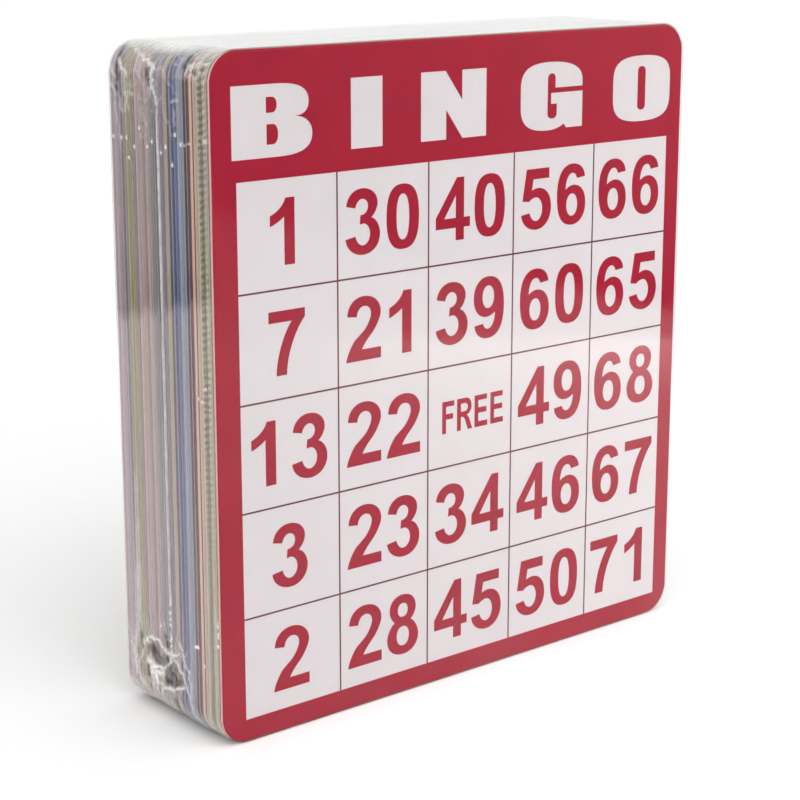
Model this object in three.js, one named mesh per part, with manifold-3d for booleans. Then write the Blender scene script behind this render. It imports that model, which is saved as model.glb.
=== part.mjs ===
// A retail pack of jumbo bingo cards: printed boards with round corners, stood on edge face to
// back and shrink-wrapped in clear film.
// Millimetres. X runs across the face of a card, -Y is the front of the pack and Z is up.
// The origin is the middle of the pack's foot, on the outside of the film.
import * as THREE from "three";
import { mergeVertices } from "three/addons/utils/BufferGeometryUtils.js";
import Module from "manifold-3d";

const wasm = await Module();
wasm.setup();

// Boards
const card_width = 188;
const card_height = 203;
const card_thickness = 1;
const card_corner_radius = 9;
const card_count = 50;
const card_air_gap = 0.02; // what boards that are not quite flat leave between their faces
const card_stray = 0.25; // how far to the side the least tidy board lies
const stray_turn = 2.4; // radians from one board's place in the stray to the next one's
const corner_steps = 4; // each corner takes twice as many straight steps

// Film
const film_thickness = 0.1;
const film_clearance = 0.3; // between the boards and the film, all round
const film_edge_radius = 0.6; // outside, where the film turns from a face to a side
const edge_steps = 3;

// Weld down the middle of each long side, where the two leaves of the film are joined and trimmed
const weld_width = 1.2;
const weld_height = 0.45;
const weld_end_taper = 6; // length over which the bead dies away into the corner gather
const weld_crown_share = 0.4; // width of the bead's flat top, as a share of its foot
const weld_shoulder_share = 0.5; // height of the foot, as a share of the whole bead

// Gathers at both ends of each weld, where the spare film at the corner has drawn up into short
// pleats that fan out from one point. A lean is the angle between a pleat and the way down.
const gather_inset = 14; // from the foot, or from the top, to the point that the pleats leave
const gather_foot_aside = 7; // from the line of the weld to that point, at the foot
const gather_top_aside = 2; // and at the top
const gather_reach = 11; // length of the longest pleat
const pleat_width = 0.9;
const pleat_height = 0.35;
const pleats = [
  { lean: -2.2, reach_share: 0.7 },
  { lean: -1.5, reach_share: 0.9 },
  { lean: -0.8, reach_share: 1 },
  { lean: -0.2, reach_share: 0.8 },
  { lean: 0.5, reach_share: 1 },
  { lean: 1.2, reach_share: 0.6 },
  { lean: 2.0, reach_share: 0.8 },
];

// Vent holes in the back of the film, which let the air out while it shrinks
const vent_diameter = 4;
const vent_count = 3;
const vent_spacing = 45;
const vent_drop = 28; // from the top of the pack down to the row of holes
const vent_steps = 16;

const cut_overrun = 1; // how far a cutter passes the surface that it cuts

// Places that follow from the sizes above
const card_pitch = card_thickness + card_air_gap;
const stack_depth = card_count * card_pitch - card_air_gap;
const film_gap = film_clearance + film_thickness;
const film_depth = stack_depth + 2 * film_gap;
const film_width = card_width + 2 * (card_stray + film_gap);
const film_height = card_height + 2 * film_gap;
const film_corner_radius = card_corner_radius + film_gap;
const front_card_face = -stack_depth / 2;

// Colour of the cut edges from the front of the pack to the back: each line is a run of boards
// from one printing, whose ink has bled a little into the grey of the board
const printings = [
  { boards: 1, edge: 0xa62f3e }, // red, the colour of the face that shows
  { boards: 5, edge: 0x97967f }, // green
  { boards: 2, edge: 0xb0a596 }, // cream
  { boards: 1, edge: 0x8e6c60 }, // brown
  { boards: 1, edge: 0xd2a69c }, // pink
  { boards: 3, edge: 0x654a53 }, // maroon
  { boards: 3, edge: 0x828b9b }, // steel
  { boards: 4, edge: 0x5d6787 }, // blue
  { boards: 1, edge: 0x6c6d73 }, // grey
  { boards: 2, edge: 0xaea393 }, // tan
  { boards: 8, edge: 0x828087 }, // grey
  { boards: 8, edge: 0xa09095 }, // mauve
  { boards: 4, edge: 0x958b70 }, // olive
  { boards: 2, edge: 0x74747c }, // slate
  { boards: 5, edge: 0xa99ba1 }, // mauve
];

// Outline of a board or of the film in the XZ plane, its foot on the X axis
function rounded_outline(width, height, radius) {
  const half = width / 2;
  const outline = new THREE.Shape();
  outline.moveTo(-half + radius, 0);
  outline.lineTo(half - radius, 0);
  outline.absarc(half - radius, radius, radius, -Math.PI / 2, 0);
  outline.lineTo(half, height - radius);
  outline.absarc(half - radius, height - radius, radius, 0, Math.PI / 2);
  outline.lineTo(-half + radius, height);
  outline.absarc(-half + radius, height - radius, radius, Math.PI / 2, Math.PI);
  outline.lineTo(-half, radius);
  outline.absarc(-half + radius, radius, radius, Math.PI, 1.5 * Math.PI);
  return outline;
}

// An outline given depth along Y, centred on the XZ plane, with rounded edges where asked
function slab(outline, depth, edge_radius = 0) {
  const geometry = new THREE.ExtrudeGeometry(outline, {
    depth: depth - 2 * edge_radius,
    curveSegments: corner_steps,
    bevelEnabled: edge_radius > 0,
    bevelThickness: edge_radius,
    bevelSize: edge_radius,
    bevelOffset: -edge_radius,
    bevelSegments: edge_steps,
  });
  geometry.translate(0, 0, edge_radius - depth / 2);
  geometry.rotateX(Math.PI / 2);
  return geometry;
}

function solid(geometry) {
  const bare = geometry.index ? geometry.toNonIndexed() : geometry.clone();
  bare.deleteAttribute("normal");
  bare.deleteAttribute("uv");
  const merged = mergeVertices(bare);
  return new wasm.Manifold(
    new wasm.Mesh({
      numProp: 3,
      vertProperties: merged.attributes.position.array,
      triVerts: merged.index.array,
    }),
  );
}

function geometry_of(manifold) {
  const mesh = manifold.getMesh();
  const geometry = new THREE.BufferGeometry();
  geometry.setAttribute("position", new THREE.BufferAttribute(mesh.vertProperties, 3));
  geometry.setIndex(new THREE.BufferAttribute(mesh.triVerts, 1));
  return geometry;
}

// Edge colours of the whole stack, one for each board, front to back
function edge_colours() {
  const colours = printings.flatMap(({ boards, edge }) => Array(boards).fill(edge));
  return Array.from({ length: card_count }, (_, index) => colours[index % colours.length]);
}

// The boards, face to back, each lying a little to one side of the pack's middle
function make_stack() {
  const stack = new THREE.Group();
  const outline = rounded_outline(card_width, card_height, card_corner_radius);
  edge_colours().forEach((edge, index) => {
    const material = new THREE.MeshStandardMaterial({ color: edge, roughness: 0.75, metalness: 0 });
    const card = new THREE.Mesh(slab(outline, card_thickness), material);
    const aside = card_stray * Math.sin(stray_turn * index);
    const along = front_card_face + card_thickness / 2 + index * card_pitch;
    card.name = "card_" + String(index + 1).padStart(2, "0");
    card.position.set(aside, along, film_gap);
    stack.add(card);
  });
  return stack;
}

// The bead of the weld on the +X side: a low ridge along Z that dies away at both ends
function weld_bead() {
  const root = film_width / 2 - film_thickness / 2;
  const low = film_corner_radius;
  const high = film_height - film_corner_radius;
  const ridge = (height, width) => {
    const outline = new THREE.Shape();
    outline.moveTo(root, low);
    outline.lineTo(film_width / 2 + height, low + weld_end_taper);
    outline.lineTo(film_width / 2 + height, high - weld_end_taper);
    outline.lineTo(root, high);
    return solid(slab(outline, width));
  };
  const crown = ridge(weld_height, weld_crown_share * weld_width);
  const foot = ridge(weld_shoulder_share * weld_height, weld_width);
  return crown.add(foot);
}

// The gather at the foot of the +X side: thin plates that fan out from one point, which lies at the
// place along Y that is given, cut to a low skin round the film so that they follow its round corner
function gather_pleats(along) {
  const outline = (growth) =>
    rounded_outline(film_width + 2 * growth, film_height + 2 * growth, film_corner_radius + growth);
  const outer = slab(outline(pleat_height), film_depth - 2 * film_edge_radius);
  const inner = slab(outline(-film_thickness / 2), film_depth);
  outer.translate(0, 0, -pleat_height);
  inner.translate(0, 0, film_thickness / 2);
  const skin = solid(outer).subtract(solid(inner));
  const plates = pleats.map(({ lean, reach_share }) => {
    const reach = reach_share * gather_reach;
    const plate = new THREE.BoxGeometry(2 * gather_inset, pleat_width, reach);
    plate.translate(film_width / 2, 0, -reach / 2);
    plate.rotateX(lean);
    plate.translate(0, along, gather_inset);
    return solid(plate);
  });
  return plates.reduce((fan, plate) => fan.add(plate)).intersect(skin);
}

// Cutters for the row of vent holes, through the back leaf only
function vent_cutters() {
  const cutters = [];
  const row = film_height - vent_drop;
  for (let hole = 0; hole < vent_count; hole += 1) {
    const across = (hole - (vent_count - 1) / 2) * vent_spacing;
    const radius = vent_diameter / 2;
    const cutter = new THREE.CylinderGeometry(radius, radius, 2 * cut_overrun, vent_steps);
    cutter.translate(across, film_depth / 2, row);
    cutters.push(solid(cutter));
  }
  return cutters;
}

// A piece turned half a turn about the X axis through the middle of the pack, from foot to top
function top_for_foot(piece) {
  const middle = film_height / 2;
  return piece.translate([0, 0, -middle]).rotate([180, 0, 0]).translate([0, 0, middle]);
}

// The film: one skin all round the stack, welded down both long sides and vented at the back
function make_film() {
  const outer_outline = rounded_outline(film_width, film_height, film_corner_radius);
  const inner_outline = rounded_outline(
    film_width - 2 * film_thickness,
    film_height - 2 * film_thickness,
    film_corner_radius - film_thickness,
  );
  const inner_depth = film_depth - 2 * film_thickness;
  const inner = slab(inner_outline, inner_depth, film_edge_radius - film_thickness);
  inner.translate(0, 0, film_thickness);
  let skin = solid(slab(outer_outline, film_depth, film_edge_radius));
  const lower_gather = gather_pleats(-gather_foot_aside);
  const upper_gather = top_for_foot(gather_pleats(gather_top_aside));
  const trim = weld_bead().add(lower_gather).add(upper_gather);
  for (const side of [trim, trim.rotate([0, 0, 180])]) {
    skin = skin.add(side);
  }
  skin = skin.subtract(solid(inner));
  for (const cutter of vent_cutters()) {
    skin = skin.subtract(cutter);
  }
  const material = new THREE.MeshStandardMaterial({
    color: 0xf2f4f5,
    roughness: 0.12,
    metalness: 0,
    transparent: true,
    opacity: 0.2,
  });
  const film = new THREE.Mesh(geometry_of(skin), material);
  film.name = "shrink_film";
  return film;
}

const pack = new THREE.Group();
pack.add(make_stack());
pack.add(make_film());

export default pack;
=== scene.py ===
# A retail pack of fifty jumbo bingo cards, stood on edge and shrink-wrapped in clear film.
# X runs across the face of a card, -Y is the front of the pack and Z is up, as in the solids.
# Sizes are written in millimetres and become metres where a mesh is made.
import math
import random

import bmesh
import bpy
import numpy as np
from mathutils import Matrix, Vector


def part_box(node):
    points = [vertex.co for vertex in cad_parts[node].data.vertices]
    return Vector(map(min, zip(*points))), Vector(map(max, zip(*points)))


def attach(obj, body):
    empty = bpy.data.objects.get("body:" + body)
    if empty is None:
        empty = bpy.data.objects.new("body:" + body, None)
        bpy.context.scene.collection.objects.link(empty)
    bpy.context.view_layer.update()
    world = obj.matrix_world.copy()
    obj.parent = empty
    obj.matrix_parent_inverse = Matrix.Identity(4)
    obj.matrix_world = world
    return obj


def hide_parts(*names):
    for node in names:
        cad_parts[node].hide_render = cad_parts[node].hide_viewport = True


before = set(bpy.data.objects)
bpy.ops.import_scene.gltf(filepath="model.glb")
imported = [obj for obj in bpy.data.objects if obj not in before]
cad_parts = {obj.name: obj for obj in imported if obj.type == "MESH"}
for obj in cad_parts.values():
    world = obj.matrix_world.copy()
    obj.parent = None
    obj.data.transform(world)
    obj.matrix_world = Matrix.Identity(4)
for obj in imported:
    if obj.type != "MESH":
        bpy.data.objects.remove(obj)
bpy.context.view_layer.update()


# Boards behind the front card
# Each is grey board a millimetre thick, printed on one face and die-cut with round corners, so
# that its cut edge shows a grey core between two paler skins. They stand loose, face to back.
MM = 0.001
board_corner = 9
corner_steps = 14
side_step = 9  # longest straight piece of a long side
edge_wander = 0.05  # how far the cut strays inwards
arris = ((0.13, 0), (0.04, 0.035), (0, 0.12))  # inset and depth of each ring at a rounded arris
board_pitch = 1.02
front_face = -25.49
printings = [
    # slot, boards, colour of the cut edge
    ("green_board", 5, 0xA09C84),
    ("cream_board", 2, 0xBDAE9E),
    ("brown_board", 1, 0x5F443B),
    ("pink_board", 1, 0xE3B2A8),
    ("maroon_board", 3, 0x523641),
    ("steel_board", 3, 0x7F8A9C),
    ("blue_board", 4, 0x54628A),
    ("grey_board", 1, 0x66676E),
    ("tan_board", 2, 0xB8AA98),
    ("grey_board", 8, 0x908B92),
    ("mauve_board", 8, 0xB29D9E),
    ("olive_board", 4, 0xB0A47E),
    ("slate_board", 2, 0x7C7B82),
    ("mauve_board", 5, 0xB6A6AC),
]
coated_face = 0xD9D6D2
bare_back = 0xB4AEA6
board_tones = (0.66, 1.46)  # the darkest and the palest board of a run, against its colour
board_tint = 0.16  # how much of a chance tint each board takes
# Brightness from a board's face to its back: the skins are paler than the core, and the ink of
# the face has run a little way over its arris. The very face and back are painted dark, a
# painted shade for the narrow gap between one board and the next
skins_and_gap_shade = ((0, 0.45), (0.09, 1.2), (0.2, 0.93), (0.62, 0.99), (0.86, 1.26), (0.97, 0.5))
nick_pitch = 2.1
nick_slant = 0.8  # how fast the nicks climb from one board to the next, in radians a millimetre
nick_wobble = 9  # how far they stray from an even row, in radians
nick_shades = (-0.32, 0.55)  # how much a burr brightens and a nick darkens the edge
faint_nicks = 0.12  # what is left of them where they are faint
nicked_boards = (1.2, 3.2)  # they begin faintly this many boards in, and are full at the second
nicked_heights = (55, 95)  # and are faint low down


def linear(hexa):
    """A colour written as 0xRRGGBB, as the four numbers that a shader takes."""
    parts = [(hexa >> shift & 255) / 255 for shift in (16, 8, 0)]
    return [c / 12.92 if c <= 0.04045 else ((c + 0.055) / 1.055) ** 2.4 for c in parts] + [1]


def empty_finish(name):
    """A new material with no nodes in it yet."""
    finish = bpy.data.materials.new(name)
    finish.use_nodes = True
    finish.node_tree.nodes.clear()
    return finish


def put(finish, kind, *links, **values):
    """Adds a shader node. A link is a socket's name or number and what feeds it."""
    made = finish.node_tree.nodes.new("ShaderNode" + kind)
    for setting, value in values.items():
        setattr(made, setting, value)
    for socket, source in links:
        if isinstance(source, bpy.types.NodeSocket):
            finish.node_tree.links.new(source, made.inputs[socket])
        else:
            made.inputs[socket].default_value = source
    return made.outputs


def maths(finish, operation, *operands):
    """The result of one Math node."""
    return put(finish, "Math", *enumerate(operands), operation=operation)[0]


def in_mm(finish, stretch=(1, 1, 1)):
    """Place on the piece in millimetres, squeezed along each axis by the factors in stretch."""
    place = put(finish, "TexCoord")["Object"]
    scale = [factor / MM for factor in stretch]
    return put(finish, "Mapping", ("Vector", place), ("Scale", scale))["Vector"]


def grain(finish, stretch, size, detail=3, roughness=0.6):
    """Cloudy noise from 0 to 1, with spots about as long as size, in millimetres."""
    links = (
        ("Vector", in_mm(finish, stretch)),
        ("Scale", 1 / size),
        ("Detail", detail),
        ("Roughness", roughness),
    )
    return put(finish, "TexNoise", *links)["Fac"]


def between(finish, value, low, high, out_low, out_high):
    """A value carried from one range to another, held at the ends."""
    links = (("Value", value), (1, low), (2, high), (3, out_low), (4, out_high))
    return put(finish, "MapRange", *links)[0]


def blended(finish, kind, share, first, second):
    """Two colours mixed by the named blend."""
    links = ((0, share), (6, first), (7, second))
    return put(finish, "Mix", *links, data_type="RGBA", blend_type=kind)[2]


def grey_levels(finish, value, levels):
    """Greys along a value, from pairs of a place on it and the brightness there."""
    greys = put(finish, "ValToRGB", ("Fac", value))["Color"]
    ramp = finish.node_tree.nodes[-1].color_ramp
    while len(ramp.elements) < len(levels):
        ramp.elements.new(0.5)
    for element, (position, level) in zip(ramp.elements, levels):
        element.position = position
        element.color = (level, level, level, 1)
    return greys


def surfaced(finish, colour, roughness, gloss, strength, depth, height):
    """Completes a finish with its colour, roughness, gloss, and bumps of a depth in millimetres."""
    bump = put(finish, "Bump", ("Strength", strength), ("Distance", depth * MM), ("Height", height))
    links = (
        ("Base Color", colour),
        ("Roughness", roughness),
        ("Specular IOR Level", gloss),
        ("Normal", bump["Normal"]),
    )
    shader = put(finish, "BsdfPrincipled", *links)
    put(finish, "OutputMaterial", ("Surface", shader[0]))
    return finish


def cut_edge(name, colour, nicked=False):
    """Die-cut board seen on its edge: skins and core with painted shade at the gaps between boards,
    a tone for each board, and fibres.
    """
    finish = empty_finish(name)
    place = put(finish, "SeparateXYZ", ("Vector", in_mm(finish)))
    along = maths(finish, "SUBTRACT", place["Y"], front_face)
    boards_in = maths(finish, "DIVIDE", along, board_pitch)
    in_board = maths(finish, "FRACT", boards_in)
    which = maths(finish, "FLOOR", boards_in)
    chance = put(finish, "TexWhiteNoise", ("W", which), noise_dimensions="1D")
    tone = between(finish, chance["Value"], 0, 1, *board_tones)
    tint = blended(finish, "MIX", board_tint, (1, 1, 1, 1), chance["Color"])
    # skins and core, and painted shade at both ends where one board meets the next
    layers = grey_levels(finish, in_board, skins_and_gap_shade)
    streaks = grain(finish, (0.04, 3.5, 0.04), size=1, detail=4, roughness=0.65)
    fibres = grain(finish, (1, 1, 1), size=0.35, detail=4, roughness=0.7)
    shade = maths(finish, "MULTIPLY", tone, between(finish, streaks, 0.25, 0.75, 0.78, 1.2))
    shade = maths(finish, "MULTIPLY", shade, between(finish, fibres, 0.3, 0.7, 0.9, 1.08))
    if nicked:
        # short dark nicks and raised burrs that the cutting rule has left across these boards
        rungs = maths(finish, "MULTIPLY", place["Z"], math.tau / nick_pitch)
        wobble = maths(finish, "MULTIPLY", grain(finish, (1, 1, 1), size=4), nick_wobble)
        wobble = maths(finish, "MULTIPLY_ADD", place["Y"], nick_slant, wobble)
        rungs = maths(finish, "SINE", maths(finish, "ADD", rungs, wobble))
        patches = between(finish, grain(finish, (1, 0.8, 0.3), size=2.5), 0.36, 0.55, 0.25, 1)
        rungs = between(finish, rungs, -0.7, 0.7, *nick_shades)
        rungs = maths(finish, "MULTIPLY", rungs, patches)
        for where, (faint, full) in ((boards_in, nicked_boards), (place["Z"], nicked_heights)):
            held = between(finish, where, faint, full, faint_nicks, 1)
            rungs = maths(finish, "MULTIPLY", rungs, held)
        shade = maths(finish, "MULTIPLY", shade, maths(finish, "SUBTRACT", 1, rungs))
    colour = blended(finish, "MULTIPLY", 1, layers, linear(colour))
    colour = blended(finish, "MULTIPLY", 1, colour, tint)
    colour = blended(finish, "MULTIPLY", 1, colour, shade)
    height = maths(finish, "ADD", streaks, maths(finish, "MULTIPLY", fibres, 0.6))
    return surfaced(
        finish, colour, roughness=0.72, gloss=0.3, strength=0.5, depth=0.05, height=height
    )


def plain_face(name, colour, roughness, mottle):
    """The face of a board: smooth coated paper or bare grey board, by its roughness and mottle."""
    finish = empty_finish(name)
    clouds = grain(finish, (1, 1, 1), size=9)
    fibres = grain(finish, (1, 1, 0.5), size=0.5, detail=5, roughness=0.7)
    shade = maths(finish, "ADD", clouds, maths(finish, "MULTIPLY", fibres, 0.6))
    shade = between(finish, shade, 0.5, 1.1, 1 - mottle, 1 + mottle / 2)
    colour = blended(finish, "MULTIPLY", 1, linear(colour), shade)
    return surfaced(finish, colour, roughness, gloss=0.4, strength=0.25, depth=0.02, height=fibres)


def board_outline(width, height, corner, steps, draw):
    """Points round a board from the foot's right end, each with its outward direction."""
    outline = []
    centres = ((1, 0, -90), (1, 1, 0), (-1, 1, 90), (-1, 0, 180))
    for place, (side, upper, start) in enumerate(centres):
        across = side * (width / 2 - corner)
        up = height - corner if upper else corner
        for step in range(steps + 1):
            angle = math.radians(start + 90 * step / steps)
            out = (math.cos(angle), math.sin(angle))
            outline.append((across + corner * out[0], up + corner * out[1], *out))
        straight = (height if place % 2 == 0 else width) - 2 * corner
        pieces = math.ceil(straight / side_step)
        heading = math.radians(start + 180)
        x, z, *out = outline[-1]
        for piece in range(1, pieces):
            travel = straight * piece / pieces
            stray = draw.uniform(0, edge_wander)
            outline.append(
                (
                    x + travel * math.cos(heading) - stray * out[0],
                    z + travel * math.sin(heading) - stray * out[1],
                    *out,
                )
            )
    return outline


def put_in_scene(name, data):
    """A new object that shows a mesh, or is a camera or a light."""
    made = bpy.data.objects.new(name, data)
    bpy.context.scene.collection.objects.link(made)
    return made


def board_piece(name, node, seed):
    """A board with round corners and softened arrises, in the place of its solid."""
    low, high = (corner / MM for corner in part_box(node))
    middle = (low.x + high.x) / 2
    draw = random.Random(seed)
    outline = board_outline(high.x - low.x, high.z - low.z, board_corner, corner_steps, draw)
    rings = [(inset, low.y + depth) for inset, depth in arris]
    rings += [(inset, high.y - depth) for inset, depth in reversed(arris)]
    points = []
    for inset, y in rings:
        for x, z, out_x, out_z in outline:
            points.append((middle + x - inset * out_x, y, low.z + z - inset * out_z))
    count = len(outline)
    faces = [tuple(range(count))]
    for ring in range(len(rings) - 1):
        base = ring * count
        for here in range(count):
            there = (here + 1) % count
            faces.append((base + here, base + count + here, base + count + there, base + there))
    last = count * (len(rings) - 1)
    faces.append(tuple(last + here for here in reversed(range(count))))
    mesh = bpy.data.meshes.new(name)
    mesh.from_pydata([[value * MM for value in point] for point in points], [], faces)
    for face in mesh.polygons:
        face.use_smooth = len(face.vertices) == 4
    return put_in_scene(name, mesh)


hidden_face = plain_face("board_coated_face", coated_face, roughness=0.5, mottle=0.04)
grey_back = plain_face("board_grey_back", bare_back, roughness=0.8, mottle=0.1)
card = 1
for slot, boards, colour in printings:
    edge = cut_edge(slot + "_edge", colour, nicked=slot == "green_board")
    for _ in range(boards):
        card += 1
        node = "card_%02d" % card
        board = board_piece(node + "_board", node, card)
        for finish in (edge, hidden_face, grey_back):
            board.data.materials.append(finish)
        board.data.polygons[0].material_index = 1
        board.data.polygons[-1].material_index = 2
        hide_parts(node)
        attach(board, "root")


# Front card
# The same board, its face covered with white coating and printed red over the border and the
# heading. The ink reaches the cut, so the arris is red and only the cut itself stays bare.
red = 0x99162E
bare_edge = 0xDDB7AE
coating = 0xCFCBCD


def printing_ink(name, colour, mottle):
    """Printing ink on coated paper: even, a little mottled, with the coating's low gloss."""
    finish = empty_finish(name)
    clouds = grain(finish, (1, 1, 1), size=14, detail=4)
    fine = grain(finish, (1, 1, 1), size=0.6, detail=4, roughness=0.75)
    shade = maths(finish, "ADD", clouds, maths(finish, "MULTIPLY", fine, 0.7))
    shade = between(finish, shade, 0.55, 1.15, 1 - mottle, 1 + mottle)
    colour = blended(finish, "MULTIPLY", 1, linear(colour), shade)
    return surfaced(
        finish, colour, roughness=0.5, gloss=0.05, strength=0.2, depth=0.01, height=fine
    )


red_ink = printing_ink("red_ink", red, mottle=0.1)
front_board = board_piece("card_01_board", "card_01", 1)
front_edge = cut_edge("front_board_edge", bare_edge)
white_coating = plain_face("white_coating", coating, roughness=0.4, mottle=0.03)
for finish in (front_edge, white_coating, grey_back, red_ink):
    front_board.data.materials.append(finish)
# the faces of the front arris come after the front one, in two rings
outline_points = len(front_board.data.polygons[0].vertices)
for face in front_board.data.polygons[1 : 2 * outline_points + 1]:
    face.material_index = 3
front_board.data.polygons[0].material_index = 1
front_board.data.polygons[-1].material_index = 2
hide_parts("card_01")
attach(front_board, "root")


# Red border and heading
# One coat of ink with the panel and the five heading letters left out of it, so that they are
# the white of the coating. Places are counted from the card's lower left corner.
card_width = 188
card_height = 203
card_foot = 0.4
ink_thickness = 0.02
curve_steps = 10
panel = ((8.3, 6.7), (181.7, 6.7), (181.7, 166.4), (8.3, 166.4))
# A contour is a list of corners. Four numbers are a curve that turns round the first pair and
# ends at the second, and a fifth says how fully it turns.
heading_letters = [
    # B
    [(6.9, 172.6), (6.9, 193.1), (22, 193.1), (33.7, 193.1, 33.7, 187.6, 0.7)]
    + [(33.7, 183.6, 28.6, 183.7, 0.65), (34.9, 183.4, 34.9, 178.6, 0.6)]
    + [(34.9, 172.6, 23, 172.6, 0.7)],
    [(18.8, 185.1), (18.8, 189.5), (20.8, 189.5), (22.5, 189.5, 22.5, 187.3, 0.6)]
    + [(22.5, 185.1, 20.8, 185.1, 0.6)],
    [(18.9, 176.2), (18.9, 181.9), (21, 181.9), (22.9, 181.9, 22.9, 179, 0.6)]
    + [(22.9, 176.2, 21, 176.2, 0.6)],
    # I
    [(48.9, 172.6), (48.9, 193.1), (60.6, 193.1), (60.6, 172.6)],
    # N
    [(75.3, 172.6), (75.3, 193.1), (84.9, 193.1), (91.5, 184.2), (91.5, 193.1)]
    + [(101.3, 193.1), (101.3, 172.6), (91.7, 172.6), (85.2, 181.4), (85.2, 172.6)],
    # G
    [(142.2, 185.4), (130.4, 185.4), (130.4, 188.4), (130.4, 189.9, 128.8, 189.9, 0.6)]
    + [(127.1, 189.9, 127.1, 188.2, 0.6), (127.1, 177.4), (127.1, 175.8, 129.1, 175.8, 0.6)]
    + [(131.1, 175.8, 131.1, 177.4, 0.6), (131.1, 180.4), (128.6, 180.4), (128.6, 183.8)]
    + [(142.3, 183.8), (142.3, 172.6), (135.2, 172.6), (134.3, 173.9)]
    + [(131.5, 172.2, 127.5, 172.2, 0.6), (115.6, 172.2, 115.6, 180, 0.72), (115.6, 186)]
    + [(115.6, 193.5, 128, 193.5, 0.72), (142.2, 193.5, 142.2, 187.4, 0.66)],
    # O
    [(156.1, 180), (156.1, 186), (156.1, 193.5, 169.4, 193.5, 0.74)]
    + [(182.6, 193.5, 182.6, 186, 0.74), (182.6, 180), (182.6, 172.2, 169.4, 172.2, 0.74)]
    + [(156.1, 172.2, 156.1, 180, 0.74)],
    [(167.4, 177.6), (167.4, 188.3), (167.4, 190, 169.2, 190, 0.66)]
    + [(171, 190, 171, 188.3, 0.66), (171, 177.6), (171, 175.9, 169.2, 175.9, 0.66)]
    + [(167.4, 175.9, 167.4, 177.6, 0.66)],
]


def traced(contour):
    """The points along a contour, with its curves cut into short straight steps."""
    points = []
    before = contour[-1]
    before = before[2:4] if len(before) > 2 else before
    for corner in contour:
        if len(corner) == 2:
            points.append(corner)
            before = corner
            continue
        fullness = corner[4] if len(corner) > 4 else 0.6
        turn, end = corner[:2], corner[2:4]
        first = [a + fullness * (b - a) for a, b in zip(before, turn)]
        second = [a + fullness * (b - a) for a, b in zip(end, turn)]
        for step in range(1, curve_steps + 1):
            t = step / curve_steps
            weights = ((1 - t) ** 3, 3 * t * (1 - t) ** 2, 3 * t**2 * (1 - t), t**3)
            knots = zip(before, first, second, end)
            points.append([sum(w * k for w, k in zip(weights, knot)) for knot in knots])
        before = end
    return points


def printed_layer(name, contours, finish):
    """A flat coat of ink on the face of the front card, with every second contour a hole."""
    drawing = bpy.data.curves.new(name, "CURVE")
    drawing.dimensions = "2D"
    drawing.fill_mode = "BOTH"
    drawing.extrude = ink_thickness / 2
    for contour in contours:
        points = traced(contour)
        line = drawing.splines.new("POLY")
        line.points.add(len(points) - 1)
        line.use_cyclic_u = True
        for point, (x, z) in zip(line.points, points):
            point.co = (x - card_width / 2, z + card_foot, 0, 1)
    sketch = bpy.data.objects.new(name + "_sketch", drawing)
    mesh = bpy.data.meshes.new_from_object(sketch)
    bpy.data.objects.remove(sketch)
    bpy.data.curves.remove(drawing)
    mesh.transform(Matrix.Rotation(math.pi / 2, 4, "X"))
    mesh.transform(Matrix.Translation((0, front_face - ink_thickness / 2, 0)))
    mesh.transform(Matrix.Scale(MM, 4))
    mesh.name = name
    mesh.materials.clear()
    mesh.materials.append(finish)
    piece = put_in_scene(name, mesh)
    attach(piece, "root")
    return piece


# the ink ends where the front board's flat face does, so it has that board's draws
ink_inset = arris[0][0]
border_outline = [
    (x + card_width / 2 - ink_inset * out_x, z - ink_inset * out_z)
    for x, z, out_x, out_z in board_outline(
        card_width, card_height, board_corner, corner_steps, random.Random(1)
    )
]
border = printed_layer("red_border_print", [border_outline, panel, *heading_letters], red_ink)


# Ruled lines of the panel
# Four upright and four level lines, thinly printed in a darker overprint from one side of the
# panel to the other. They have no frame: the red border stands all round them.
line_width = 0.55
line_colour = 0x633641
upright_lines = (43.6, 78.4, 113.2, 148)
level_lines = (134.5, 102.3, 70.1, 37.9)
line_ink = printing_ink("line_ink", line_colour, mottle=0.15)


def line_edges(start, middles, end):
    """Where squares and lines meet, from one side of the panel to the other."""
    edges = [start]
    for middle in middles:
        edges += [middle - line_width / 2, middle + line_width / 2]
    return edges + [end]


(left, foot), (right, head) = panel[0], panel[2]
across = line_edges(left, upright_lines, right)
up = line_edges(foot, reversed(level_lines), head)
lattice = bmesh.new()
columns = []
for x in across:
    places = [((x - card_width / 2) * MM, front_face * MM, (z + card_foot) * MM) for z in up]
    columns.append([lattice.verts.new(place) for place in places])
for column, (west, east) in enumerate(zip(columns, columns[1:])):
    for level in range(len(up) - 1):
        if column % 2 or level % 2:
            lattice.faces.new((west[level], east[level], east[level + 1], west[level + 1]))
unused = [corner for corner in lattice.verts if not corner.link_faces]
bmesh.ops.delete(lattice, geom=unused, context="VERTS")
line_mesh = bpy.data.meshes.new("panel_lines_print")
lattice.to_mesh(line_mesh)
lattice.free()
line_mesh.materials.append(line_ink)
lines = put_in_scene("panel_lines_print", line_mesh)
coat = lines.modifiers.new("coat", "SOLIDIFY")
coat.thickness = ink_thickness * MM
coat.offset = 1
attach(lines, "root")


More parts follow.
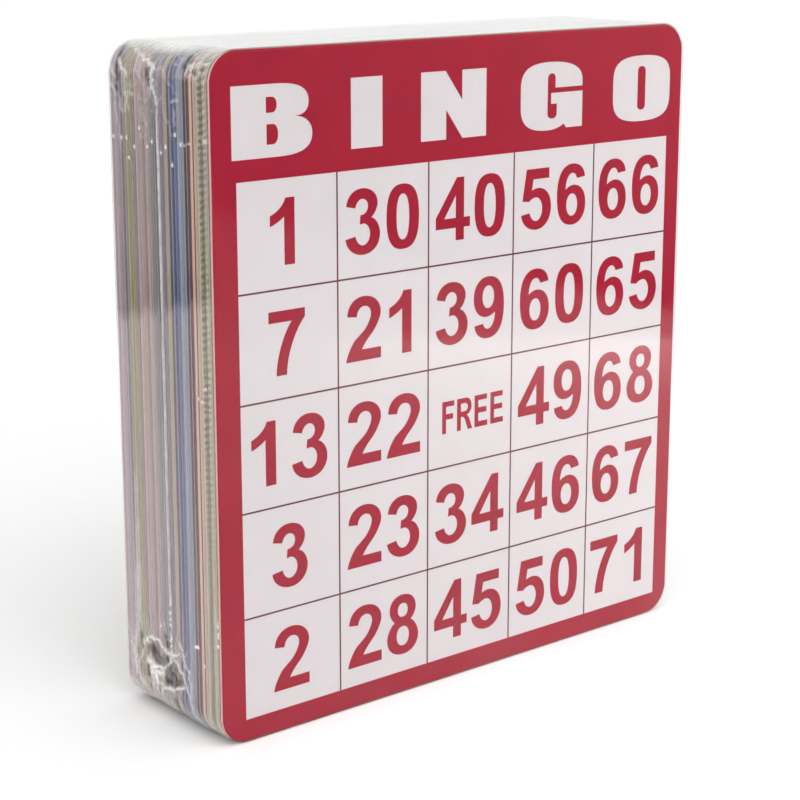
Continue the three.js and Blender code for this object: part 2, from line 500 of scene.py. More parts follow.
# Numbers
# Printed in the red of the border, in plain upright bold figures, two to a square at most. The
# middle square of the panel has the one word that every such card has there.
figure_height = 19.35
figure_pitch = 15.45  # from one figure's left side to the next one's
figure_width = 12.9
row_pitch = 32.2
first_row_foot = 141.45
nine_shift = (-0.2, -0.25)  # how far a six is moved, once turned, to sit as a nine
word_foot = 80.85
word_places = (84.2, 90.3, 97.6, 104.3)
column_middles = (25, 60.75, 95.6, 130.6, 164.7)
figures = {
    "0": [
        [(0, 9.55), (0, 19.4, 6.3, 19.4, 0.7), (12.6, 19.4, 12.6, 9.55, 0.7)]
        + [(12.6, -0.3, 6.3, -0.3, 0.7), (0, -0.3, 0, 9.55, 0.7)],
        [(3.85, 9.5), (3.85, 16.4, 6.3, 16.4, 0.66), (8.75, 16.4, 8.75, 9.5, 0.66)]
        + [(8.75, 2.6, 6.3, 2.6, 0.66), (3.85, 2.6, 3.85, 9.5, 0.66)],
    ],
    "1": [
        [(6, 0), (9.7, 0), (9.7, 19.35), (6.5, 19.35), (5.5, 15.9, 1, 14.5)]
        + [(1, 11.35), (4.6, 12.6, 6, 14)],
    ],
    "2": [
        [(0, 0), (0.3, 3.4, 3.4, 6.5, 0.5), (6.6, 8.9), (9.45, 11.4, 9.45, 14, 0.55)]
        + [(9.45, 16.5, 6.85, 16.5), (4.25, 16.5, 4.05, 13.4, 0.55), (0.5, 13.85)]
        + [(0.7, 19.5, 6.85, 19.5, 0.6), (13.2, 19.5, 13.2, 14.1, 0.58)]
        + [(13.2, 11, 9.6, 7.7, 0.5), (6.7, 5.2, 6, 3.4, 0.5), (13.25, 3.4), (13.25, 0)],
    ],
    "3": [
        [(0.35, 14.4), (0.9, 19.4, 6.3, 19.4, 0.6), (12.1, 19.4, 12.1, 14.7, 0.58)]
        + [(12.1, 11.9, 9.7, 10.55, 0.5), (13, 9.6, 13, 5.6, 0.55)]
        + [(13, -0.35, 6.6, -0.35, 0.58), (0.6, -0.35, 0, 4.75, 0.58), (3.75, 5.35)]
        + [(4.2, 2.5, 6.5, 2.5, 0.55), (9.2, 2.5, 9.2, 5.8, 0.55)]
        + [(9.2, 8.95, 6.6, 8.95, 0.55), (5.35, 8.75), (5.6, 11.5)]
        + [(8.45, 11.5, 8.45, 14.1, 0.6), (8.45, 16.3, 6.25, 16.3, 0.55)]
        + [(4.2, 16.3, 3.75, 13.7, 0.55)],
    ],
    "4": [
        [(7.8, 0), (11.15, 0), (11.15, 3.9), (13.6, 3.9), (13.6, 6.95), (11.15, 6.95)]
        + [(11.15, 19.35), (8.25, 19.35), (-0.2, 7.4), (-0.2, 3.9), (7.8, 3.9)],
        [(3.2, 6.95), (7.8, 13.8), (7.8, 6.95)],
    ],
    "5": [
        [(2.2, 19.1), (11.95, 19.1), (11.95, 15.8), (5.15, 15.8), (4.5, 12.3)]
        + [(5.8, 12.95, 7.2, 12.95, 0.5), (12.9, 12.95, 12.9, 6.5, 0.6)]
        + [(12.9, -0.3, 6.5, -0.3, 0.58), (0.7, -0.3, 0, 4.75, 0.58), (3.65, 5.25)]
        + [(4.2, 2.5, 6.4, 2.5, 0.55), (9.05, 2.5, 9.05, 6.25, 0.55)]
        + [(9.05, 10, 6.35, 10, 0.55), (4.5, 10, 3.3, 8.8, 0.55), (0.5, 9.2)],
    ],
    "6": [
        [(3.75, 11.2), (5.1, 12.55, 7.3, 12.55, 0.5), (12.7, 12.55, 12.7, 6.3, 0.6)]
        + [(12.7, -0.3, 6.7, -0.3, 0.6), (0, -0.3, 0, 9.4, 0.68), (0, 19.4, 6.9, 19.4, 0.66)]
        + [(11.9, 19.4, 12.3, 14.95, 0.6), (8.7, 14.55), (8.4, 16.4, 6.8, 16.4, 0.55)]
        + [(3.9, 16.4, 3.75, 11.2, 0.6)],
        [(4.2, 6.2), (4.2, 9.8, 6.65, 9.8, 0.58), (9.05, 9.8, 9.05, 6.2, 0.58)]
        + [(9.05, 2.6, 6.65, 2.6, 0.58), (4.2, 2.6, 4.2, 6.2, 0.58)],
    ],
    "7": [
        [(2.6, 0), (2.6, 9, 8.2, 15.7, 0.55), (0, 15.7), (0, 19.05), (13, 19.05)]
        + [(13, 16.5), (6.4, 9.4, 6.35, 0, 0.58)],
    ],
    "8": [
        [(6.3, 19.45), (11.6, 19.45, 11.6, 14.6, 0.6), (11.6, 12, 9.5, 10.7, 0.5)]
        + [(12.6, 9.2, 12.6, 5.4, 0.5), (12.6, -0.3, 6.3, -0.3, 0.6)]
        + [(0, -0.3, 0, 5.4, 0.6), (0, 9.2, 3.1, 10.7, 0.5), (1, 12, 1, 14.6, 0.5)]
        + [(1, 19.45, 6.3, 19.45, 0.6)],
        [(4.3, 14.35), (4.3, 16.6, 6.3, 16.6), (8.3, 16.6, 8.3, 14.35)]
        + [(8.3, 12.1, 6.3, 12.1), (4.3, 12.1, 4.3, 14.35)],
        [(3.85, 5.85), (3.85, 9, 6.3, 9), (8.8, 9, 8.8, 5.85), (8.8, 2.6, 6.3, 2.6)]
        + [(3.85, 2.6, 3.85, 5.85)],
    ],
}
word_letters = {
    "F": [
        [(0, 0), (1.6, 0), (1.6, 4.5), (4.5, 4.5), (4.5, 6.25), (1.6, 6.25), (1.6, 8.6)]
        + [(4.95, 8.6), (4.95, 10.3), (0, 10.3)],
    ],
    "R": [
        [(0, 0), (1.6, 0), (1.6, 4.3), (2.2, 4.3), (2.9, 4.3, 3.35, 3.2, 0.55), (4.5, 0)]
        + [(6.4, 0), (5.1, 3.4), (4.7, 4.4, 4.1, 4.75, 0.5), (6.05, 5.3, 6.05, 7.4, 0.6)]
        + [(6.05, 10.3, 3.6, 10.3, 0.6), (0, 10.3)],
        [(1.6, 6), (1.6, 8.6), (3.3, 8.6), (4.45, 8.6, 4.45, 7.3), (4.45, 6, 3.3, 6)],
    ],
    "E": [
        [(0, 0), (5.45, 0), (5.45, 1.75), (1.6, 1.75), (1.6, 4.5), (5.05, 4.5)]
        + [(5.05, 6.25), (1.6, 6.25), (1.6, 8.6), (5.25, 8.6), (5.25, 10.3), (0, 10.3)],
    ],
}
rows = (
    ("1", "30", "40", "56", "66"),
    ("7", "21", "39", "60", "65"),
    ("13", "22", "", "49", "68"),
    ("3", "23", "34", "46", "67"),
    ("2", "28", "45", "50", "71"),
)


def moved(contour, x, z, turned=False):
    """A contour set down at x and z, or turned half a turn inside a figure's width first."""
    placed = []
    for corner in contour:
        values = list(corner)
        for place in range(0, len(values) - len(values) % 2, 2):
            if turned:
                values[place] = figure_width + nine_shift[0] - values[place]
                values[place + 1] = figure_height + nine_shift[1] - values[place + 1]
            values[place] += x
            values[place + 1] += z
        placed.append(tuple(values))
    return placed


numbers = []
for row, squares in enumerate(rows):
    for middle, number in zip(column_middles, squares):
        width = figure_width + figure_pitch * (len(number) - 1)
        for place, figure in enumerate(number):
            x = middle - width / 2 + figure_pitch * place
            z = first_row_foot - row_pitch * row
            for contour in figures["6" if figure == "9" else figure]:
                numbers.append(moved(contour, x, z, turned=figure == "9"))
for letter, x in zip("FREE", word_places):
    for contour in word_letters[letter]:
        numbers.append(moved(contour, x, word_foot))
figures_print = printed_layer("numbers_print", numbers, red_ink)


# Shrink film
# One clear skin round the whole pack. Its leaves are welded and trimmed along both long sides,
# and heat has drawn it tight: the spare film ends up as creases fanned round the ends of each
# weld, with small beads of melted film in an arc a little way from them.
# Creases and beads are painted milky white: partly the whitening of stretched and melted film,
# partly painted highlights where they glint. Round the upper corners and along the top the milk is
# also painted glare and a painted brighter top.
film_thickness = 0.1
film_corner = 9.4
film_edge = 0.6
film_side = 94.65  # from the middle of the pack to the flat of a side
film_lift = 0.44  # the highest that a bead or crease stands on a side
film_sink = 0.15  # the deepest that a hollow goes
film_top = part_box("shrink_film")[1].z / MM
film_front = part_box("shrink_film")[0].y / MM
film_corner_steps = 30
film_edge_steps = 4
leaf_rings = (3, 1.2)  # insets of the two rings of points on each leaf
fine_step = 0.4  # between points where the film is creased
coarse_step = 2.6
creased_zone = 38  # from the foot, or from the top
beaded_band = (102, 110)  # a few beads lie half-way up
weld_ends = (20, 188)
weld_fade = 5
weld_height = 0.42
weld_half_width = 0.36
weld_milk = 0.5
high_weld = (110, 175)  # between these heights it becomes milkier
high_milk = 0.14
stitched_to = 38  # up to this height the weld is a row of dots
stitch_blend = 6
stitch_pitch = 2.3
stitch_milk = 0.4
weld_shadow = (1.5, 0.5, 0.4)  # the dark line beside a weld: its distance, half width and depth
shadow_begins = (60, 150)
shadow_ends = (180, 190)
hollow_depth = 0.08
wave_rise = 0.012  # a side has long shallow waves all over
# Where the film is crumpled: middle as depth and height, how tall for its width, reach and rise
crumples = ((6, 14, 1, 15, 0.07), (6, 197, 0.8, 17, 0.05))
slack_heights = (200.5, 206)  # round an upper corner the film goes slack from one to the other
# round the upper corners the slack film is painted milky, partly as painted glare
slack_milk_and_glare = 0.35
slack_glare_spots = ((0, 9, 0.5), (-20, 4, 0.12))  # milkier places, painted as glare: depth in the pack, reach and milk
flat_margin = 1.2  # a side is smooth this close to its long edges
flat_foot = (-4.5, 0)  # and it turns smooth between these heights, below and above
flat_head = (203, 208)
painted_top_light = 0.2  # how milky the slack film on top is painted, as a painted brighter top where the light falls
slack_fade = 4  # length over which the film loses its slack along the top, on average
vent_radius = 2
vent_rim = 0.4  # width of the melted rim round each vent
vent_milk = 0.55
vent_steps = 24
vent_places = (-45, 0, 45)
vent_height = 175.8
# Creases at the lower end of a weld, each with its rise, its half width, how milky it is painted
# (its whitening, and a painted highlight where it glints), and its corners as depth in the pack
# and height on the side
low_creases = [
    (0.08, 0.80, 0.10, [(17, 74), (17.1, 58)]),
    (0.10, 1.10, 0.20, [(17.1, 60), (17.4, 44)]),
    (0.14, 1.40, 0.34, [(17.4, 46), (18, 28), (19.5, 22), (20.3, 18)]),
    (0.20, 1.00, 0.45, [(20.3, 18), (20.5, 16), (20, 12.5), (18, 9.5), (15.5, 8.4)]),
    (0.24, 0.40, 0.45, [(14, 20.5), (16.5, 17.5), (18.5, 14.5), (19, 12.5)]),
    (0.34, 0.55, 0.62, [(15.5, 21.5), (12.5, 24), (8, 25), (5, 23.5), (3, 22.5), (-0.5, 22)]),
    (0.30, 0.45, 0.62, [(-0.5, 22), (-4, 23.5)]),
    (0.40, 0.60, 0.55, [(-0.5, 22), (-2.5, 20.5), (-4.5, 18.5), (-6.5, 17.5), (-7, 16), (-9.5, 12)]),
    (0.30, 0.60, 0.35, [(-9.5, 12), (-10.5, 9), (-12, 5), (-12.5, 1)]),
    (0.36, 0.42, 0.62, [(-0.5, 21.5), (1, 19), (3.5, 17), (5, 14)]),
    (0.42, 0.80, 1.15, [(12.5, 16.8), (11, 16), (9, 15.6)]),
    (0.42, 0.55, 1.00, [(9, 15.6), (6.5, 16), (4.5, 16.5)]),
    (0.42, 0.65, 1.00, [(12.5, 16.5), (11.7, 14.5), (11, 12.5)]),
    (0.42, 0.85, 1.15, [(10.5, 15.5), (9.3, 13), (8, 11.5)]),
    (0.42, 0.55, 1.00, [(9.5, 14), (7, 14.2), (5.5, 14.9)]),
    (0.30, 0.35, 0.70, [(10.8, 12.8), (9.8, 10.6), (10.4, 8.8)]),
    (0.28, 0.35, 0.60, [(8, 11.5), (8.6, 9.4), (7.4, 7.2)]),
    (0.40, 0.50, 0.75, [(8, 11.5), (5, 10.5), (2, 10.5), (-2, 11.5), (-4.5, 12.5), (-6.5, 14)]),
    (0.26, 0.40, 0.35, [(5, 10.5), (6, 8), (4.5, 6), (3, 3)]),
    (0.26, 0.50, 0.42, [(-5, 27), (-6, 24.5), (-7, 22), (-7.5, 20.5), (-9.3, 20)]
        + [(-9.5, 18), (-10.5, 13.5)]),
    (0.16, 0.35, 0.15, [(2, 10), (1, 4), (0.5, -1)]),
    (0.16, 0.35, 0.12, [(-3, 11.5), (-4.5, 5), (-5, 0)]),
    (0.14, 0.45, 0.12, [(20, 10), (16, 3), (15, -1)]),
]
high_creases = [
    (0.36, 0.45, 0.85, [(7.5, 199.5), (4.5, 198.7), (1.5, 197.5), (2.3, 196.5), (2.7, 195.2)]),
    (0.34, 0.40, 0.80, [(2.7, 195.2), (1.5, 194), (2.7, 193), (2.9, 191.5), (1.3, 191), (0, 187)]),
    (0.30, 0.70, 0.50, [(20, 204.5), (16, 203), (7.5, 199.5)]),
    (0.12, 2.20, 0.60, [(22, 206.5), (12, 205.5), (4, 206), (-8, 207)]),
    (0.28, 0.50, 0.60, [(20.5, 199), (19.4, 197), (17.2, 196), (15.7, 194.5)]),
    (0.22, 0.55, 0.30, [(24.2, 191), (22, 189), (19.5, 187), (18.8, 184)]),
    (0.22, 0.60, 0.30, [(24.8, 197.5), (22, 193.5)]),
    (0.16, 0.50, 0.16, [(22.5, 185), (20.6, 179), (19.4, 172)]),
    (0.20, 0.40, 0.30, [(16.3, 195), (16.4, 189), (14.8, 184.5)]),
    (0.16, 0.35, 0.20, [(18, 195.5), (18, 191), (16.2, 186)]),
    (0.22, 0.30, 0.35, [(7.5, 200.5), (6, 201.8), (2, 202.4), (-3, 202.6), (-7.6, 202)]
        + [(-11.3, 200.4)]),
    (0.16, 0.30, 0.25, [(9.6, 194.6), (6.6, 192)]),
    (0.24, 0.45, 0.55, [(-15, 196.5), (-15.2, 198.5), (-17.5, 199.6), (-22, 200.2), (-24, 200)]),
    (0.24, 0.40, 0.50, [(-14.6, 203), (-18.8, 204.6), (-23.5, 205)]),
    (0.20, 0.30, 0.45, [(-16.3, 198.2), (-20.2, 199), (-21.5, 197)]),
    (0.10, 1.10, 0.30, [(-15.5, 202), (-20, 202.4), (-24, 203)]),
    (0.10, 0.20, 0.50, [(-11.7, 176.8), (-16.6, 177.3)]),
    (0.20, 0.40, 0.35, [(-22.6, 179.2), (-24.4, 178.5)]),
    (0.10, 0.30, 0.60, [(-19.8, 107.9), (-21.4, 108.3)]),
]
# Hollows between the creases, where the film faces away from the light and the boards look
# dark: half width, and corners as before
hollows = [
    (2.40, [(10, 20.8), (6.8, 17.8)]),
    (2.60, [(0.3, 17.2), (-1.2, 15), (-3, 14)]),
    (1.20, [(2.8, 13), (-1.5, 12.8)]),
    (0.80, [(13.4, 14), (13.2, 12)]),
    (0.90, [(2.6, 20.4), (2.1, 19)]),
    (0.80, [(3, 27.5), (2.3, 24)]),
    (0.70, [(17, 24), (16.2, 20)]),
    (0.80, [(-1.5, 8), (-2, 3)]),
    (0.80, [(22.5, 203.5), (21.6, 200), (21.3, 197), (20.8, 193)]),
    (0.60, [(21.6, 190.5), (20.6, 187)]),
    (0.80, [(-18.8, 197)]),
    (0.70, [(-12.8, 198.5), (-13.4, 202), (-14.5, 205)]),
    (0.80, [(5.4, 196.8), (4.6, 192.5)]),
]
# Small creases scattered round each gather: middle, nearest and farthest start, and how many
scatters = [((6, 14), 3, 15, 60), ((4, 196), 2, 20, 45)]
# Beads of melted film, as depth and height: one place, or the two ends of a drawn-out one
bead_rise = 0.3
bead_half_width = 0.45
# beads are painted milky: melted film, and painted glints
bead_milk_and_glint = 0.8
beads = [
    [(23.6, 176)], [(19.2, 176)], [(16.4, 176.2)], [(12.4, 174)], [(9.4, 179.6)],
    [(5.5, 174.6)], [(3.1, 176.3)], [(-1.6, 173.6)], [(-4.1, 175.4)], [(-9, 179.3)],
    [(-11.7, 176.8)], [(-7.2, 170.7)], [(15.4, 170.5)], [(-17.9, 105.2)], [(-19.6, 104.5)],
    [(24.2, 24.3)], [(22.7, 19.5)], [(12.3, 22.5)], [(5.4, 29.8)], [(-13.1, 28.6), (-14.6, 28.9)],
    [(-17.6, 23.8)], [(-24.8, 38.3)], [(-25, 36)], [(-24.9, 35)], [(-24.8, 32.2)],
]


def side_run():
    """The film's outline up the +X side: place, outward direction, side, and height along it."""
    across = film_side - film_corner
    upper = film_top - film_corner
    run = []
    for turn in np.linspace(-math.pi / 2, 0, film_corner_steps, endpoint=False):
        out = (math.cos(turn), math.sin(turn))
        height = film_corner + turn * film_corner
        place = (across + film_corner * out[0], film_corner + film_corner * out[1])
        run.append((*place, *out, 1, height))
    straight = np.concatenate(
        [
            np.arange(film_corner, creased_zone, fine_step),
            np.arange(creased_zone, beaded_band[0], coarse_step),
            np.arange(*beaded_band, fine_step),
            np.arange(beaded_band[1], film_top - creased_zone, coarse_step),
            np.arange(film_top - creased_zone, upper, fine_step),
        ]
    )
    run += [(film_side, height, 1, 0, 1, height) for height in straight]
    for turn in np.linspace(0, math.pi / 2, film_corner_steps):
        out = (math.cos(turn), math.sin(turn))
        place = (across + film_corner * out[0], upper + film_corner * out[1])
        run.append((*place, *out, 1, upper + turn * film_corner))
    return run


def nearness(depth, height, corners, half_width):
    """1 on a broken line, falling away smoothly to either side of it."""
    nearest = np.full(depth.shape, 1e9)
    for (y1, z1), (y2, z2) in zip(corners, corners[1:] or corners):
        run_y, run_z = y2 - y1, z2 - z1
        length = max(run_y**2 + run_z**2, 1e-9)
        along = np.clip(((depth - y1) * run_y + (height - z1) * run_z) / length, 0, 1)
        gap = np.hypot(depth - y1 - along * run_y, height - z1 - along * run_z)
        nearest = np.minimum(nearest, gap)
    return np.exp(-((nearest / half_width) ** 2))


def scattered_creases():
    """Short faint creases that run roughly outwards from the middle of each gather."""
    draw = random.Random(5)
    creases = []
    for (middle_y, middle_z), nearest, farthest, count in scatters:
        for _ in range(count):
            turn = draw.uniform(0, math.tau)
            away = draw.uniform(nearest, farthest)
            y = middle_y + away * math.cos(turn)
            z = middle_z + away * math.sin(turn)
            corners = [(y, z)]
            heading = turn + draw.gauss(0, 0.6)
            for _ in range(3):
                step = draw.uniform(0.8, 2.4)
                heading += draw.gauss(0, 0.35)
                y += step * math.cos(heading)
                z += step * math.sin(heading)
                corners.append((y, z))
            lift = draw.uniform(0.06, 0.2)
            creases.append((lift, draw.uniform(0.25, 0.45), draw.uniform(0.04, 0.26), corners))
    return creases


def rising(value, low, high):
    """0 up to low, 1 from high, and a smooth step between."""
    share = np.clip((value - low) / (high - low), 0, 1)
    return share * share * (3 - 2 * share)


def weld_bead(depth, height):
    """Where the middle of a weld runs, how full its bead is from 0 to 1, and how milky."""
    stitched = rising(-height, -stitched_to - stitch_blend, -stitched_to)
    middle = 0.08 * np.sin(height / 9.1) + 0.04 * np.sin(height / 2.3)
    middle = middle + 0.3 * stitched * np.sin(height * 2.4 + 1.5 * np.sin(height / 2))
    held = rising(height, weld_ends[0], weld_ends[0] + weld_fade)
    held = held * rising(-height, -weld_ends[1], weld_fade - weld_ends[1])
    phase = 1.9 * np.sin(height / 1.3) + 2.6 * np.sin(height / 3.1)
    dots = 0.5 + 0.5 * np.sin(height * math.tau / stitch_pitch + phase)
    held = held * (1 - stitched * (1 - dots))
    wide = weld_half_width * (1 + 0.3 * stitched)
    bead = np.exp(-(((depth - middle) / wide) ** 2)) * held
    milk_and_glint = bead * (weld_milk + high_milk * rising(height, *high_weld) + stitch_milk * stitched)
    return middle, bead, milk_and_glint


def film_relief(depth, height):
    """How far the film of a long side stands out, how milky it is painted (whitening, painted
    highlights and glare), and how dark it is.
    """
    weld_middle, bead, milk_and_glint = weld_bead(depth, height)
    rise = weld_height * bead
    # creases don't run straight, and their painted milk and highlights are uneven
    shaken = depth + 0.3 * np.sin(height * 1.7 + depth * 0.6) + 0.16 * np.sin(height * 3.9)
    shaken_height = height + 0.3 * np.sin(depth * 1.5 + height * 0.8)
    uneven = 0.78 + 0.22 * np.sin(depth * 2.1 + height * 1.3) * np.sin(height * 2.3 - depth)
    for lift, half_width, milky_and_glinting, corners in low_creases + high_creases + scattered_creases():
        near = nearness(shaken, shaken_height, corners, half_width)
        rise = np.maximum(rise, lift * near)
        milk_and_glint = np.maximum(milk_and_glint, milky_and_glinting * uneven * (0.7 * near + 0.3 * near**0.2))
    for corners in beads:
        near = nearness(depth, height, corners, bead_half_width)
        rise = np.maximum(rise, bead_rise * near)
        milk_and_glint = np.maximum(milk_and_glint, bead_milk_and_glint * near)
    hollow = np.zeros(depth.shape)
    for half_width, corners in hollows:
        hollow = np.maximum(hollow, nearness(depth, height, corners, half_width))
    distance, half_width, dark = weld_shadow
    shadow = np.exp(-(((depth - weld_middle - distance) / half_width) ** 2))
    shadow = dark * shadow * rising(height, *shadow_begins)
    shadow = shadow * rising(-height, -shadow_ends[1], -shadow_ends[0])
    hollow = np.maximum(hollow, shadow) * (1 - milk_and_glint)
    rise = rise - hollow_depth * hollow
    # the slack film round the upper corners is painted milky, as painted glare
    slack_and_glare = slack_milk_and_glare
    for middle, reach, milky_and_glinting in slack_glare_spots:
        slack_and_glare = slack_and_glare + milky_and_glinting * np.exp(-(((depth - middle) / reach) ** 2))
    milk_and_glint = np.maximum(milk_and_glint, slack_and_glare * rising(height, *slack_heights))
    crumple = np.sin(depth * 1.9 + 2 * np.sin(height / 2.3)) * np.sin(height * 1.3 + depth / 2)
    for middle_y, middle_z, tall, reach, lift in crumples:
        away = np.hypot(depth - middle_y, (height - middle_z) / tall) / reach
        rise = rise + lift * crumple * np.exp(-(away**2))
    rise = rise + wave_rise * np.sin(depth * 0.8 + 1.5 * np.sin(height / 21))
    long_edge = film_front + film_edge
    flat_edges = rising(-np.abs(depth), long_edge, long_edge + flat_margin)
    flat_ends = rising(height, *flat_foot) * rising(-height, -flat_head[1], -flat_head[0])
    rise = np.clip(rise, -film_sink, film_lift) * flat_edges * flat_ends
    return rise, np.clip(milk_and_glint, 0, 1), hollow * flat_edges


def film_mesh(name):
    """The film's strip all round, with rounded edges, and how many points go round it."""
    run = side_run()
    across = film_side - film_corner
    level = np.arange(across - coarse_step, -across + coarse_step / 2, -coarse_step)
    columns = run + [(x, film_top, 0, 1, 0, 0) for x in level]
    columns += [(-x, z, -out_x, out_z, -1, height) for x, z, out_x, out_z, _, height in run[::-1]]
    columns += [(x, 0, 0, -1, 0, 0) for x in -level]
    x, z, out_x, out_z, side, height = np.array(columns).T
    flat = film_front + film_edge
    depths = np.linspace(flat, -flat, round(-2 * flat / fine_step) + 1)
    rings = [(inset, film_front) for inset in leaf_rings]
    for turn in np.linspace(0, math.pi / 2, film_edge_steps, endpoint=False):
        inset = film_edge * (1 - math.sin(turn))
        rings.append((inset, flat - film_edge * math.cos(turn)))
    rings += [(0, depth) for depth in depths] + [(inset, -depth) for inset, depth in rings[::-1]]
    inset, y = np.array(rings).T
    depth = np.outer(y, -side)
    rise, milk_and_glint, hollow = film_relief(depth, np.outer(np.ones(len(y)), height))
    on_sides = np.outer(inset == 0, side != 0)
    rise *= on_sides
    milk_and_glint *= on_sides
    on_top = np.outer(np.abs(y) < -flat, (side == 0) & (out_z > 0))
    # the slack of the upper corners, painted milky as glare, carries on along the top over the
    # painted brighter top, and ends unevenly
    right_end, left_end = len(run) - 1, len(run) + len(level)
    corner_milk_and_glare = np.where(x > 0, milk_and_glint[:, [right_end]], milk_and_glint[:, [left_end]])
    fade = slack_fade * (1.3 + np.sin(y * 0.9) * np.sin(y * 0.37 + 1))
    fade = np.exp(-np.abs(across - np.abs(x)) / fade[:, None])
    milk_and_glint = np.maximum(milk_and_glint, (painted_top_light + (corner_milk_and_glare - painted_top_light) * fade) * on_top)
    out = rise - inset[:, None]
    points = np.stack([x + out * out_x, y[:, None] + 0 * out, z + out * out_z], axis=2)
    count = len(columns)
    here = np.arange(count)
    there = (here + 1) % count
    faces = []
    for ring in range(len(rings) - 1):
        base = ring * count
        corners = (base + here, base + count + here, base + count + there, base + there)
        faces += np.stack(corners, axis=1).tolist()
    mesh = bpy.data.meshes.new(name)
    mesh.from_pydata((points.reshape(-1, 3) * MM).tolist(), [], faces)
    mesh.attributes.new("milk_and_glint", "FLOAT", "POINT").data.foreach_set("value", milk_and_glint.ravel())
    dark = on_sides * hollow
    mesh.attributes.new("dark", "FLOAT", "POINT").data.foreach_set("value", dark.ravel())
    return mesh, count


def close_leaves(mesh, count):
    """Fills the front leaf, and the back one round its vent holes."""
    shell = bmesh.new()
    shell.from_mesh(mesh)
    shell.verts.ensure_lookup_table()
    front = [shell.verts[place] for place in range(count)]
    leaf = shell.faces.new(front)
    leaf.smooth = False
    milk_and_glint = shell.verts.layers.float["milk_and_glint"]
    back = [shell.verts[place] for place in range(-count, 0)]
    edges = [shell.edges.get((a, b)) for a, b in zip(back, back[1:] + back[:1])]
    for across in vent_places:
        ring = []
        for step in range(vent_steps):
            turn = math.tau * step / vent_steps
            x = across + vent_radius * math.cos(turn)
            z = vent_height + vent_radius * math.sin(turn)
            ring.append(shell.verts.new((x * MM, -film_front * MM, z * MM)))
            ring[-1][milk_and_glint] = vent_milk
        rim = [shell.verts.new(point.co) for point in ring]
        centre = Vector((across * MM, -film_front * MM, vent_height * MM))
        for point in rim:
            point.co += (point.co - centre) * vent_rim / vent_radius
        for a, b, c, d in zip(ring, ring[1:] + ring[:1], rim[1:] + rim[:1], rim):
            shell.faces.new((a, b, c, d))
        edges += [shell.edges.get((a, b)) for a, b in zip(rim, rim[1:] + rim[:1])]
    filled = bmesh.ops.triangle_fill(shell, use_beauty=True, edges=edges)
    for face in filled["geom"]:
        if isinstance(face, bmesh.types.BMFace):
            face.smooth = False
    bmesh.ops.recalc_face_normals(shell, faces=shell.faces)
    shell.to_mesh(mesh)
    shell.free()


film_gloss = (0.013, 0.9)  # how much it mirrors seen straight on, and how much more at a slant
gloss_falloff = 3.5
film_clearness = (0.985, 0.62)  # how much light it lets through, and where it is dark
mirrored_tint = (1, 0.88, 0.85, 1)  # a warm tint painted on what it mirrors, where it is seen from in front
# the white of the milky film, which also paints highlights and glare
milk_and_glint_colour = (0.95, 0.94, 0.91, 1)


def clear_film(name):
    """Clear film: see-through, glossy at a slant, and milky where it is creased or melted, which
    also paints highlights and glare.
    """
    finish = empty_finish(name)
    waves = grain(finish, (1, 1, 1), size=60, detail=1)
    bump = put(finish, "Bump", ("Strength", 1), ("Distance", 0.06 * MM), ("Height", waves))
    slant = put(finish, "LayerWeight", ("Blend", 0.5), ("Normal", bump["Normal"]))["Facing"]
    streaks = between(finish, grain(finish, (0.05, 1.2, 0.05), size=1.6), 0.3, 0.7, 0.8, 1.2)
    mirrored = maths(finish, "POWER", slant, gloss_falloff)
    mirrored = maths(finish, "MULTIPLY_ADD", mirrored, film_gloss[1], film_gloss[0])
    dark = put(finish, "Attribute", attribute_name="dark")["Fac"]
    streaks = maths(finish, "MULTIPLY", streaks, between(finish, dark, 0, 1, 1, 0.3))
    mirrored = maths(finish, "MULTIPLY", mirrored, streaks)
    through = between(finish, dark, 0, 1, *film_clearness)
    through = put(finish, "CombineXYZ", (0, through), (1, through), (2, through))[0]
    clear = put(finish, "BsdfTransparent", ("Color", through))
    # the tint is gone where the film is seen along its surface
    grazing = between(finish, slant, 0.45, 0.75, 0, 1)
    tint = blended(finish, "MIX", grazing, mirrored_tint, (1, 1, 1, 1))
    links = (("Color", tint), ("Roughness", 0.07), ("Normal", bump["Normal"]))
    gloss = put(finish, "BsdfGlossy", *links)
    skin = put(finish, "MixShader", (0, mirrored), (1, clear[0]), (2, gloss[0]))
    # a milky white layer: whitened and melted film, and painted highlights and glare
    milky_and_glinting = put(finish, "BsdfPrincipled", ("Base Color", milk_and_glint_colour), ("Roughness", 0.25))
    milk_and_glint = put(finish, "Attribute", attribute_name="milk_and_glint")["Fac"]
    patches = grain(finish, (0.3, 1, 0.35), size=1.5, detail=2)
    patches = between(finish, patches, 0.35, 0.62, 0.6, 1.1)
    milk_and_glint = put(finish, "Math", (0, milk_and_glint), (1, patches), operation="MULTIPLY", use_clamp=True)[0]
    shader = put(finish, "MixShader", (0, milk_and_glint), (1, skin[0]), (2, milky_and_glinting[0]))
    put(finish, "OutputMaterial", ("Surface", shader[0]))
    return finish


film_shape, around = film_mesh("shrink_film_wrap")
close_leaves(film_shape, around)
film = put_in_scene("shrink_film_wrap", film_shape)
film_shape.materials.append(clear_film("clear_film"))
for face in film_shape.polygons:
    face.use_smooth = len(face.vertices) == 4
skin = film.modifiers.new("skin", "SOLIDIFY")
skin.thickness = film_thickness * MM
skin.offset = -1
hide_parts("shrink_film")
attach(film, "root")


# Camera
# Where the photograph was taken from: to the left of the pack and a little above it.
camera_place = (-0.3988, -0.4755, 0.2450)  # metres
camera_downwards = 13.24  # degrees
camera_rightwards = 39.58
camera_data = bpy.data.cameras.new("camera")
camera_data.sensor_width = 36
camera_data.lens = 89.25
camera_data.shift_y = -0.05
camera = put_in_scene("camera", camera_data)
camera.location = camera_place
camera.rotation_euler = (
    math.radians(90 - camera_downwards),
    0,
    math.radians(-camera_rightwards),
)
bpy.context.scene.camera = camera


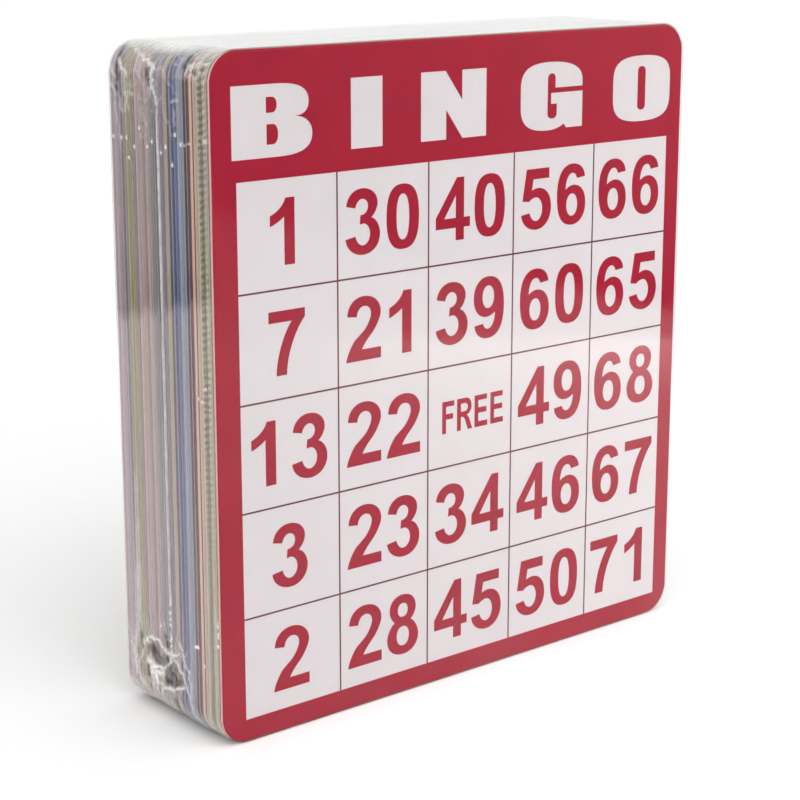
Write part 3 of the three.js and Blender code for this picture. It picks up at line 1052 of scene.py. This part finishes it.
# Studio
# A plain pale floor. The sheet under the pack is the part of it that the film mirrors, and its
# right and far edges are what divides the paler lower gloss from the darker gloss above it.
sheet_edges = ((-1.3, 0.472), (-1.5, 0.52))  # metres, as the whole studio is
floor_reach = 60
floor_colour = 0xF9F9F9
# Brightness from straight down to straight up: dark well below the floor's level, bright round
# the horizon and softer overhead
sky_levels = ((0.4, 0.04), (0.412, 0.28), (0.45, 0.42), (0.486, 0.6))
sky_levels += ((0.489, 1), (0.51, 1), (0.65, 0.85), (1, 0.6))
floor_paper = plain_face("floor_paper", floor_colour, roughness=0.9, mottle=0.01)


def floor_piece(name, corners, faces):
    """A flat piece of the floor."""
    mesh = bpy.data.meshes.new(name)
    mesh.from_pydata([(x, y, 0) for x, y in corners], [], faces)
    mesh.materials.append(floor_paper)
    piece = put_in_scene(name, mesh)
    return piece


(west, east), (south, north) = sheet_edges
sheet_corners = [(west, south), (east, south), (east, north), (west, north)]
far_corners = [(x / abs(x) * floor_reach, y / abs(y) * floor_reach) for x, y in sheet_corners]
floor_piece("floor_sheet", sheet_corners, [(0, 1, 2, 3)])
around_sheet = [(0, 4, 5, 1), (1, 5, 6, 2), (2, 6, 7, 3), (3, 7, 4, 0)]
floor_beyond = floor_piece("floor_beyond", sheet_corners + far_corners, around_sheet)
floor_beyond.visible_glossy = False

world = bpy.data.worlds.new("studio")
world.use_nodes = True
heading = put(world, "TexCoord")["Generated"]
height = put(world, "SeparateXYZ", ("Vector", heading))["Z"]
level = between(world, height, -1, 1, 0, 1)
glow = grey_levels(world, level, sky_levels)
world.node_tree.links.new(glow, world.node_tree.nodes["Background"].inputs["Color"])
bpy.context.scene.world = world
bpy.context.scene.view_settings.view_transform = "Standard"

sun_data = bpy.data.lights.new("soft_sun", "SUN")
sun_data.energy = 1.4
sun_data.angle = math.radians(60)
sun = put_in_scene("soft_sun", sun_data)
sun.rotation_euler = (math.radians(35), math.radians(-10), 0)

# two low fills, out of sight and not mirrored by the film: name, power, place and turns
fill_size = 0.2
fill_colour = (1, 0.88, 0.87)
fills = (
    ("right_fill", 0.85, (0.36, -0.38, 0.11), (90, 0, 42)),
    ("left_fill", 0.07, (-0.33, 0.05, 0.06), (0, -90, 0)),
)
for name, power, place, turns in fills:
    fill_data = bpy.data.lights.new(name, "AREA")
    fill_data.energy = power
    fill_data.size = fill_size
    fill_data.color = fill_colour
    fill = put_in_scene(name, fill_data)
    fill.location = place
    fill.rotation_euler = [math.radians(turn) for turn in turns]
    fill.visible_glossy = False
    fill.visible_camera = False
